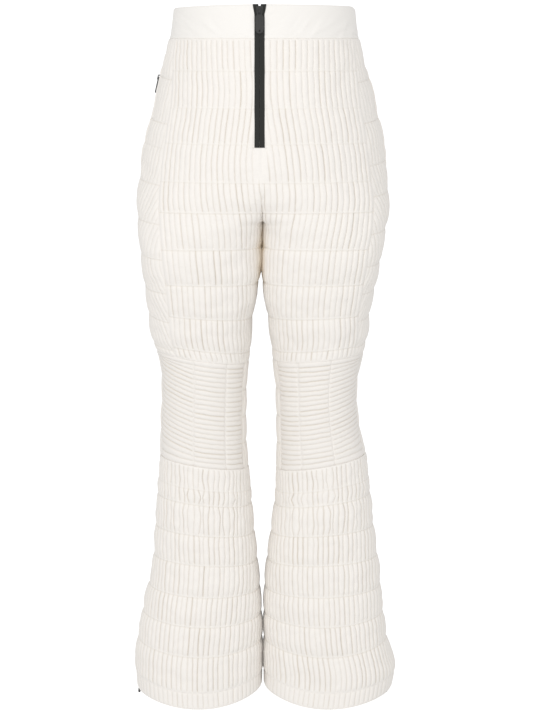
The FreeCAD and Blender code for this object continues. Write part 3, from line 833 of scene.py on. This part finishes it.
def fabric_material(name, colour, groove_shade_colour, weave=2600.0, crinkle=0.35, roughness=0.62, sheen=0.25):
    """Woven cloth: a fine weave, small crinkles, painted shade in its grooves and between the legs, and
    slight colour variation.
    """
    material, tree, shader = node_material(name)
    shader.inputs["Roughness"].default_value = roughness
    shader.inputs["Sheen Weight"].default_value = sheen
    shader.inputs["Sheen Roughness"].default_value = 0.5
    shader.inputs["Specular IOR Level"].default_value = 0.3
    place = read_attribute(tree, "cloth", "Vector")
    patches = add_node(
        tree, "ShaderNodeTexNoise", None, {"Vector": place}, Scale=9.0, Detail=4.0, Roughness=0.6)
    tint = mix_colours(tree, patches.outputs["Fac"], scaled(colour, 0.975), scaled(colour, 1.02))
    # painted shade: the grooves are mixed towards a darker, warmer colour where shade falls
    groove_shaded = mix_colours(tree, read_attribute(tree, "groove", "Fac"), tint, groove_shade_colour)
    # painted shade: a warm shadow between the legs, below the crutch
    shaded = mix_colours(tree, read_attribute(tree, "tan", "Fac"), groove_shaded, CRUTCH_SHADE_COLOUR)
    tree.links.new(shaded, shader.inputs["Base Color"])

    stretch = add_node(tree, "ShaderNodeMapping", None, {"Vector": place}, Scale=(1.0, 2.2, 1.0))
    creases = add_node(
        tree, "ShaderNodeTexNoise", None, {"Vector": stretch.outputs["Vector"]},
        Scale=210.0, Detail=5.0, Roughness=0.62, Distortion=0.4)
    warp, weft = (
        add_node(tree, "ShaderNodeTexWave", {"bands_direction": axis}, {"Vector": place},
                 Scale=weave / TWO_PI, Distortion=0.3)
        for axis in "XY")
    threads = add_node(
        tree, "ShaderNodeMath", {"operation": "MAXIMUM"}, {0: warp.outputs["Fac"], 1: weft.outputs["Fac"]})
    fine = add_node(
        tree, "ShaderNodeBump", None, {"Height": threads.outputs["Value"]}, Strength=0.12, Distance=0.0002)
    coarse = add_node(
        tree, "ShaderNodeBump", None, {"Height": creases.outputs["Fac"], "Normal": fine.outputs["Normal"]},
        Strength=crinkle, Distance=0.0016)
    tree.links.new(coarse.outputs["Normal"], shader.inputs["Normal"])
    return material


def zip_material(name, colour, roughness, metallic=0.0):
    """Black moulded or painted metal zip parts with slight wear."""
    material, tree, shader = node_material(name)
    shader.inputs["Metallic"].default_value = metallic
    where = add_node(tree, "ShaderNodeTexCoord").outputs["Object"]
    speckle = add_node(tree, "ShaderNodeTexNoise", None, {"Vector": where}, Scale=900.0, Detail=4.0)
    specks = speckle.outputs["Fac"]
    shade = mix_colours(tree, specks, scaled(colour, 0.7), scaled(colour, 1.35))
    rough = add_node(
        tree, "ShaderNodeMapRange", None, {"Value": specks},
        To_Min=roughness * 0.75, To_Max=min(1.0, roughness * 1.25))
    bump = add_node(tree, "ShaderNodeBump", None, {"Height": specks}, Strength=0.15, Distance=0.0001)
    tree.links.new(shade, shader.inputs["Base Color"])
    tree.links.new(rough.outputs["Result"], shader.inputs["Roughness"])
    tree.links.new(bump.outputs["Normal"], shader.inputs["Normal"])
    return material


quilted = fabric_material("quilted_cloth", CREAM, SHADE)
knee_cloth = fabric_material("knee_cloth", (0.85, 0.815, 0.775), SHADE)
plain_cloth = fabric_material("plain_cloth", (0.88, 0.855, 0.82), SHADE, crinkle=0.2)
lining = fabric_material("lining_cloth", (0.82, 0.77, 0.69), SHADE, weave=1800.0, crinkle=0.2, roughness=0.5)
ribbon_cloth = fabric_material("ribbon_cloth", (0.80, 0.76, 0.70), SHADE, weave=3400.0, crinkle=0.1)
tape_cloth = fabric_material(
    "tape_cloth", (0.017, 0.018, 0.016), (0.01, 0.01, 0.01), weave=5200.0, crinkle=0.15, roughness=0.7,
    sheen=0.1)
pale_tape = fabric_material("pale_tape", (0.84, 0.81, 0.76), SHADE, weave=5200.0, crinkle=0.1)
zip_coil = zip_material("zip_coil", (0.02, 0.02, 0.02), 0.4)
zip_metal = zip_material("zip_metal", (0.045, 0.045, 0.044), 0.33, metallic=0.6)


def dress(piece, *materials):
    """Gives a piece its materials; faces of the lining take the last one."""
    piece.data.materials.clear()
    for material in materials:
        piece.data.materials.append(material)
    if len(materials) > 1:
        layer = piece.data.attributes["lining"]
        values = np.empty(len(piece.data.vertices), np.float32)
        layer.data.foreach_get("value", values)
        slots = [int(min(values[v] for v in face.vertices) > 0.5) for face in piece.data.polygons]
        piece.data.polygons.foreach_set("material_index", slots)


# ---- the pieces -----------------------------------------------------------------------------------
SIDES = {LEFT: "left", RIGHT: "right"}


def bend_at_hip(piece):
    """Bakes the piece's place into its mesh."""
    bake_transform(piece)


def bend_at_knee(piece):
    """Bakes the piece's place into its mesh."""
    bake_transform(piece)


def stand_for(piece, materials, slot, *nodes):
    """Gives a piece its materials and hides the CAD nodes that it stands for; slot is not used."""
    dress(piece, *materials)
    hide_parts(*nodes)


FLY_STRIP_X = -3.5
FLY_STRIP_END = 247.0
CRUMPLED_END = 800.0


def plain_fly(x, depth):
    """Ribs fade out in the narrow plain strip under the zip."""
    away = np.abs(x - FLY_STRIP_X) / 7.0
    in_strip = ease(2.0 - away) * ease((FLY_STRIP_END - depth) / 10.0) * (depth > FRONT_ZIP_END - 4)
    return 1 - in_strip


def crumpled(depth):
    """Ribs wander more just under the knees."""
    return 2.2 * ease((depth - KNEE_BOTTOM) / 15.0) * ease((CRUMPLED_END - depth) / 60.0)


def make_upper_panels(side):
    """The front, side and back panels from the waistband to the knee."""
    word = SIDES[side]
    ends = (WAISTBAND, KNEE_TOP)
    front_seam = FRONT_SEAM[side]
    seed = 10 if side == LEFT else 20
    wide = 0.2 if side == LEFT else -0.4
    front_pitch = curve_through((44, 8.5 + wide), (200, 8.6 + wide), (300, 8.6), (400, 8.2), (505, 7.7))
    side_pitch = curve_through((44, 8.4), (235, 8.4), (505, 7.9))
    front = build_panel(
        "front_" + word, side, ends, front_seam, (zip_edge(side), front_seam), front_pitch, FRONT_TUCKS,
        seed, plain=plain_fly, breaks=[FRONT_ZIP_END])
    pocket = (-SIDE_TAPE, SIDE_TAPE, POCKET_TOP, POCKET_END)
    outer = build_panel(
        "side_" + word, side, ends, fixed(POCKET_ZIP_ANGLE), (front_seam, BACK_SEAM), side_pitch,
        SIDE_TUCKS[side], seed + 1, rib=1.0, groove=(0.0, 0.45), slots=[pocket], tilt=-0.09)
    back = build_panel(
        "back_" + word, side, ends, BACK_SEAM, (BACK_SEAM, fixed(INSEAM_AGAIN)), front_pitch, BACK_TUCKS,
        seed + 2)
    replaced = {
        front: ("hip_front_", "hip_crease_", "thigh_front_"),
        outer: ("hip_side_", "thigh_side_"),
        back: ("seat_", "thigh_back_")}
    for piece, nodes in replaced.items():
        bend_at_hip(piece)
        stand_for(piece, (quilted, lining), "quilted_fabric", *[node + word for node in nodes])


def make_lower_panels(side):
    """The flared panels from the knee to the hem band, and the hem band."""
    word = SIDES[side]
    seed = 30 if side == LEFT else 40
    pitch = curve_through((664, 7.4), (1008, 7.7))
    legs = {
        "ends": (KNEE_BOTTOM, HEM_BAND_TOP), "tucks": LOWER_TUCKS, "rib": 1.4, "groove": (0.15, 1.0),
        "jog": 0.4, "puff": 2.5, "crumple": crumpled, "breaks": [ANKLE_ZIP_TOP]}
    hems = {"ends": (HEM_BAND_TOP, HEM), "tucks": [], "rib": 1.1, "groove": (0.1, 0.5), "puff": 1.0}
    zip_seam = fixed(ANKLE_ZIP_ANGLE)
    halves = {
        "front_": (fixed(5.0), (fixed(INSEAM), zip_seam), (0.0, SIDE_TAPE)),
        "back_": (fixed(190.0), (zip_seam, fixed(INSEAM_AGAIN)), (SIDE_TAPE, 0.0))}
    for part, settings, first_seed in (("lower_", legs, seed), ("hem_", hems, seed + 2)):
        for i, (half, (reference, seams, trim)) in enumerate(halves.items()):
            piece = build_panel(
                part + half + word, side, reference=reference, seams=seams, pitch=pitch,
                seed=first_seed + i, trim=trim, **settings)
            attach(piece, "shin_" + word)
            node = "hem_band_" + word if part == "hem_" else "shin_" + half + word
            stand_for(piece, (quilted, lining), "quilted_fabric", node)


def make_knees(side):
    """Three ribbed facets in front and a pleated panel behind."""
    word = SIDES[side]
    seams = KNEE_SEAMS[side]
    seed = 50 if side == LEFT else 60
    slopes = {"inner_": -0.06, "middle_": 0.0, "outer_": 0.13 if side == LEFT else 0.2}
    for i, (place, slope) in enumerate(slopes.items()):
        piece = build_knee("knee_" + place + word, side, seams[i], seams[i + 1], slope, seed + i)
        bend_at_knee(piece)
        stand_for(piece, (knee_cloth, lining), "ribbed_fabric", "knee_panel_" + place + word)
    back = build_panel(
        "knee_behind_" + word, side, (KNEE_TOP, KNEE_BOTTOM), fixed(180.0),
        (fixed(seams[-1]), fixed(seams[0] + 360.0)), fixed(7.4), [545, 585, 625], seed + 5, rib=1.5)
    bend_at_knee(back)
    stand_for(back, (quilted, lining), "quilted_fabric", "knee_back_" + word)


def band_relief(seed):
    """Slanting creases, a rolled upper edge and a stitched strip at the lower edge."""
    random = np.random.default_rng(seed)
    creases = []
    for _ in range(34):
        creases.append((random.uniform(-160, 160), random.uniform(4, 40), random.uniform(0.3, 1.0),
                        random.uniform(1.6, 4.2), random.uniform(8, 26), random.uniform(-1.0, 1.0)))

    def relief(length, depth, edge):
        height = 0.5 * np.ones_like(depth)
        for at, level, slant, width, reach, rise in creases:
            across = (length - at) * math.sin(slant) + (depth - level) * math.cos(slant)
            along = (length - at) * math.cos(slant) - (depth - level) * math.sin(slant)
            height = height + rise * hump(across, width) * hump(along, reach)
        strip = WAISTBAND - 5.5
        height -= 1.6 * hump(depth - WAIST_TOP, 1.3) + 0.55 * hump(depth - strip, 0.9)
        height += 0.45 * ease((depth - strip) / 2.0) - 0.9 * hump(WAISTBAND - depth, 0.8)
        return height

    return relief


def band_top(side, angle, depth):
    """The waistband's top edge is lower at the sides and level with the cloth's top at the back."""
    at_side = 4.0 if side == RIGHT else 2.0
    corner = 0.0 if side == RIGHT else 3.0 * ease((angle - 62.0) / 30.0) * ease((135.0 - angle) / 30.0)
    drop = at_side * np.clip((1 + np.sin(np.radians(angle))) / 2, 0, 1) ** 2 + corner
    return drop * np.clip(1 - depth / WAISTBAND, 0, 1)


def make_waistband(side):
    """The waistband's front and back pieces and the facing inside them."""
    word = SIDES[side]
    ends = (WAIST_TOP, WAISTBAND)
    seed = 70 if side == LEFT else 80
    to_side_seam = (zip_edge(side), fixed(90.0))
    front = build_plain(
        "waistband_front_outer_" + word, side, ends, fixed(0.0), to_side_seam, band_relief(seed), BAND,
        shift=band_top)
    to_back_seam = (fixed(90.0), fixed(INSEAM_AGAIN))
    back = build_plain(
        "waistband_back_outer_" + word, side, ends, fixed(180.0), to_back_seam, band_relief(seed + 1), BAND,
        shift=band_top)
    for piece, node in ((front, "waistband_front_" + word), (back, "waistband_back")):
        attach(piece, "waist")
        stand_for(piece, (plain_cloth, lining), "plain_fabric", node)
    ends = (WAIST_TOP + 1.2, WAISTBAND - 1.0)
    all_round = (zip_edge(side), fixed(INSEAM_AGAIN))
    facing = build_plain(
        "facing_" + word, side, ends, fixed(90.0), all_round, soft_dents(seed + 2, 0.35), FACING,
        offset=BAND + 0.3, cell=3.0, shift=band_top)
    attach(facing, "waist")
    stand_for(facing, (lining, lining), "lining_fabric", "waistband_facing")
    middle = np.array([WAISTBAND / 2])
    width, = seam_lengths(CLOTH[side], zip_edge(side), (fixed(INSEAM_AGAIN),), middle)


def soft_dents(seed, size):
    """A relief of shallow waves that run in several directions."""
    random = np.random.default_rng(seed)
    waves = []
    for _ in range(9):
        waves.append((random.uniform(0.05, 0.3), random.uniform(0, math.pi), random.uniform(0, 2 * math.pi)))

    def relief(length, depth, edge):
        height = 0 * depth
        for rate, heading, start in waves:
            height = height + np.sin(rate * (length * math.cos(heading) + depth * math.sin(heading)) + start)
        return size * height / 3.0

    return relief


BAG_BOTTOM = 250.0
BAG_CORNER = 26.0
BAG_FRONT_ANGLE = 52.0
BAG_BACK_ANGLE = 107.0


def make_pocket_bag(side):
    """A flat padded bag inside the hip, sewn to the pocket zip, with rounded lower corners."""
    def front_edge(depth):
        over = np.clip(depth - (BAG_BOTTOM - BAG_CORNER), 0, BAG_CORNER)
        return BAG_FRONT_ANGLE + 14.0 * (1 - np.sqrt(1 - (over / BAG_CORNER) ** 2))

    dents = soft_dents(seed=90 + side, size=0.9)

    def relief(length, depth, edge):
        return 0.4 * dents(length, depth, edge) - 1.0 * hump(edge, 4.0)

    bag = build_plain(
        "pocket_lining_" + SIDES[side], side, (POCKET_TOP + 3.5, BAG_BOTTOM), fixed(POCKET_ZIP_ANGLE),
        (front_edge, fixed(BAG_BACK_ANGLE)), relief, 2.4, offset=QUILT + 2.6, cell=2.5)
    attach(bag, "waist")
    stand_for(bag, (lining, lining), "lining_fabric", "pocket_bag_" + SIDES[side])


def sheet_on_grid(name, points, outward, thickness, place):
    """A closed sheet from a grid of points in mm, with its thickness behind them."""
    index = np.arange(points.shape[0] * points.shape[1]).reshape(points.shape[:2])
    return thick_sheet(name, points, points - np.asarray(outward) * thickness, index, place)


FORWARDS = (0.0, -1.0, 0.0)
DOWNWARDS = (0.0, 0.0, -1.0)
TRUNK_WIDTH = 140.0         # half the trunk's width where the front zip is


def make_fly_guard():
    """The soft flap behind the front zip, folded at its edges."""
    half = 13.0
    bottom = FRONT_ZIP_END + 5.5
    across = np.linspace(FRONT_ZIP_X - half, FRONT_ZIP_X + half, 27)
    x, depth = np.meshgrid(across, np.linspace(3.6, bottom, 100))
    edge = np.minimum(half + 0.2 - np.abs(x - FRONT_ZIP_X), bottom - depth)
    y = -TRUNK_FRONT(depth) * np.sqrt(1 - (x / TRUNK_WIDTH) ** 2) + QUILT + 2.3
    y = y + 0.5 * np.sin(depth / 9.0) * ease(edge / 6.0) + 0.5 * hump(edge, 1.5)
    points = np.stack([x, y, -depth], axis=-1)
    guard = sheet_on_grid("fly_flap", points, FORWARDS, 1.6, points)
    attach(guard, "waist")
    stand_for(guard, (lining, lining), "lining_fabric", "fly_guard")


def make_hanger_loop(side):
    """A narrow ribbon folded into a loop inside the waistband."""
    top, bottom = -41.0, -94.5      # heights of its ends
    gap, half = 1.5, 5.0            # half of the space inside the fold, and half of the ribbon's width
    wall = 129.6                    # distance of its outer layer from the centre plane
    turn = np.linspace(0, math.pi, 13)
    down = np.linspace(top, bottom, 26)
    path_x = np.concatenate([0 * down, -gap + gap * np.cos(turn), 0 * down - 2 * gap])
    path_z = np.concatenate([down, bottom - gap * np.sin(turn), down[::-1]])
    out_x = np.concatenate([0 * down + 1, np.cos(turn), 0 * down - 1])
    out_z = np.concatenate([0 * down, -np.sin(turn), 0 * down])
    bow = 1.1 * np.sin((path_z - top) / (bottom - top) * math.pi)
    across, x = np.meshgrid(np.linspace(-half, half, 11), side * (wall + path_x - bow))
    z = path_z[:, None] + 0 * x
    y = across + 0.8 * np.sin((z - top) / 17.0)
    points = np.stack([x, y * side, z], axis=-1)
    outward = np.stack([side * out_x[:, None] + 0 * x, 0 * x, out_z[:, None] + 0 * x], axis=-1)
    place = np.stack([y, z, 0 * x], axis=-1)
    loop = sheet_on_grid("ribbon_loop_" + SIDES[side], points, outward, 0.7, place)
    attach(loop, "waist")
    stand_for(loop, (ribbon_cloth, ribbon_cloth), "ribbon", "hanger_loops")


def make_gusset():
    """A narrow padded saddle under the crutch, quilted across."""
    half, front, back = 12.0, -64.0, 116.0
    middle, radius = 30.0, 150.0    # the saddle is an arc about this place
    quilting = 7.8
    x, y = np.meshgrid(np.linspace(-half, half, 25), np.linspace(front, back, 121))
    away = y - middle
    rib = np.abs(np.sin(away / quilting * math.pi / 2)) ** 0.6
    edge = np.minimum(half - np.abs(x), np.minimum(y - front, back - y))
    height = radius - CRUTCH + 3.0 - np.sqrt(radius ** 2 - away ** 2)
    height = height - 0.9 * rib * ease(edge / 3.0)
    points = np.stack([x, y, height], axis=-1)
    gusset = sheet_on_grid("gusset_pad", points, DOWNWARDS, 3.0, points)
    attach(gusset, "waist")
    stand_for(gusset, (quilted, lining), "quilted_fabric", "crotch_gusset")


def make_front_tape(side):
    """One of the front zip's two woven tapes, which spread a little at the top."""
    gap = 0.15
    share, depth = np.meshgrid(np.linspace(0.0, 1.0, 11), np.linspace(WAIST_TOP, FRONT_ZIP_END, 130))
    spread = 2.2 * ease((12.0 - depth) / 16.0)
    near = np.where(depth < 6.0, gap + spread * 0.7, gap)
    x = FRONT_ZIP_X + side * (near + (FRONT_TAPE + 0.1 + spread - near) * share)
    y = -TRUNK_FRONT(depth) * np.sqrt(1 - (x / TRUNK_WIDTH) ** 2)
    y = y - 0.55 - 0.35 * hump(share - 1.0, 0.12) + 0.4 * hump(share, 0.12)
    points = np.stack([x, y, -depth], axis=-1)
    tape = sheet_on_grid("zip_tape_cloth_" + SIDES[side], points, FORWARDS, 0.9, points)
    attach(tape, "waist")
    stand_for(tape, (tape_cloth, tape_cloth), "zip_tape", "front_zip_tape_" + SIDES[side])


for side in (LEFT, RIGHT):
    make_upper_panels(side)
    make_lower_panels(side)
    make_knees(side)
    make_waistband(side)
    make_pocket_bag(side)
make_fly_guard()
make_hanger_loop(LEFT)
make_hanger_loop(RIGHT)
make_gusset()
make_front_tape(LEFT)
make_front_tape(RIGHT)

for name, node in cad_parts.items():
    if node.hide_render:
        continue
    if "slider" in name or "pull" in name:
        dress(node, zip_metal)
    elif "front" in name:
        dress(node, zip_coil)
    else:
        dress(node, pale_tape)


# ---- studio ---------------------------------------------------------------------------------------
FLOOR_Z = -1.12             # all in metres
FLOOR_RADIUS = 6.5
SWEEP_RADIUS = 2.0
WALL_TOP = 7.0
SURROUNDINGS = 0.69         # brightness of the white surroundings
MIDDLE = (0, 0, -0.5)       # the lamps face this point
WAIST = (0, 0, -0.1)
CAMERA_PLACE = (0.0057, -2.9, -0.045)
CAMERA_TARGET = (0.0057, 0.0, -0.5087)


def make_stage():
    """A plain pale round floor that curves up into a plain wall all round."""
    profile = [(0.02, FLOOR_Z), (3.0, FLOOR_Z), (FLOOR_RADIUS, FLOOR_Z)]
    for step in range(1, 13):
        turn = math.radians(90.0 * step / 12)
        radius = FLOOR_RADIUS + SWEEP_RADIUS * math.sin(turn)
        profile.append((radius, FLOOR_Z + SWEEP_RADIUS * (1 - math.cos(turn))))
    profile.append((FLOOR_RADIUS + SWEEP_RADIUS, WALL_TOP))
    steps = 72
    points = []
    for radius, z in profile:
        for step in range(steps):
            turn = 2 * math.pi * step / steps
            points.append((radius * math.cos(turn) / MM, radius * math.sin(turn) / MM, z / MM))
    faces = [list(range(steps))]
    for ring in range(len(profile) - 1):
        for step in range(steps):
            here, after = ring * steps + step, ring * steps + (step + 1) % steps
            faces.append([here, here + steps, after + steps, after])
    stage = add_mesh("studio_floor", points, faces)
    material, tree, shader = node_material("studio_paper")
    shader.inputs["Roughness"].default_value = 0.9
    grain = add_node(tree, "ShaderNodeTexNoise", Scale=6.0, Detail=3.0)
    tone = add_node(tree, "ShaderNodeMix", {"data_type": "RGBA"})
    tone.inputs["A"].default_value = (0.95, 0.95, 0.95, 1)
    tone.inputs["B"].default_value = (0.97, 0.97, 0.97, 1)
    tree.links.new(grain.outputs["Fac"], tone.inputs["Factor"])
    tree.links.new(tone.outputs["Result"], shader.inputs["Base Color"])
    shader.inputs["Emission Color"].default_value = (1, 1, 1, 1)
    shader.inputs["Emission Strength"].default_value = 0.5
    stage.data.materials.append(material)
    stage.visible_diffuse = False
    stage.visible_glossy = False
    stage.visible_shadow = False


def facing_angles(place, target):
    """The rotation that turns a lamp or camera at one point towards another."""
    return (Vector(target) - Vector(place)).to_track_quat("-Z", "Y").to_euler()


def add_area(name, place, target, size, power):
    """A soft light that faces a point."""
    light = bpy.data.lights.new(name, "AREA")
    light.shape = "RECTANGLE"
    light.size = size[0]
    light.size_y = size[1]
    light.energy = power
    lamp = bpy.data.objects.new(name, light)
    lamp.location = place
    lamp.rotation_euler = facing_angles(place, target)
    bpy.context.scene.collection.objects.link(lamp)


def make_light():
    """White surroundings and large soft lamps."""
    world = bpy.data.worlds.new("studio")
    world.use_nodes = True
    world.node_tree.nodes["Background"].inputs["Color"].default_value = (1, 1, 1, 1)
    world.node_tree.nodes["Background"].inputs["Strength"].default_value = SURROUNDINGS
    bpy.context.scene.world = world
    add_area("key", (-1.7, -2.4, 0.3), MIDDLE, (1.6, 2.2), 23.0)
    add_area("fill", (2.2, -2.0, -0.3), MIDDLE, (1.4, 2.2), 10.0)
    add_area("top", (0.3, -1.5, 1.5), WAIST, (1.6, 1.0), 4.0)
    add_area("front", (0.0, -3.4, -0.45), MIDDLE, (1.2, 1.2), 13.0)


def make_camera():
    """Looks straight at the front, from waist height, with a long lens."""
    camera = bpy.data.cameras.new("camera")
    camera.lens = 100.06
    camera.sensor_width = 36.0
    camera.clip_start = 0.1
    view = bpy.data.objects.new("camera", camera)
    view.location = CAMERA_PLACE
    view.rotation_euler = facing_angles(CAMERA_PLACE, CAMERA_TARGET)
    bpy.context.scene.collection.objects.link(view)
    bpy.context.scene.camera = view


make_stage()
make_light()
make_camera()
bpy.context.scene.view_settings.view_transform = "Standard"
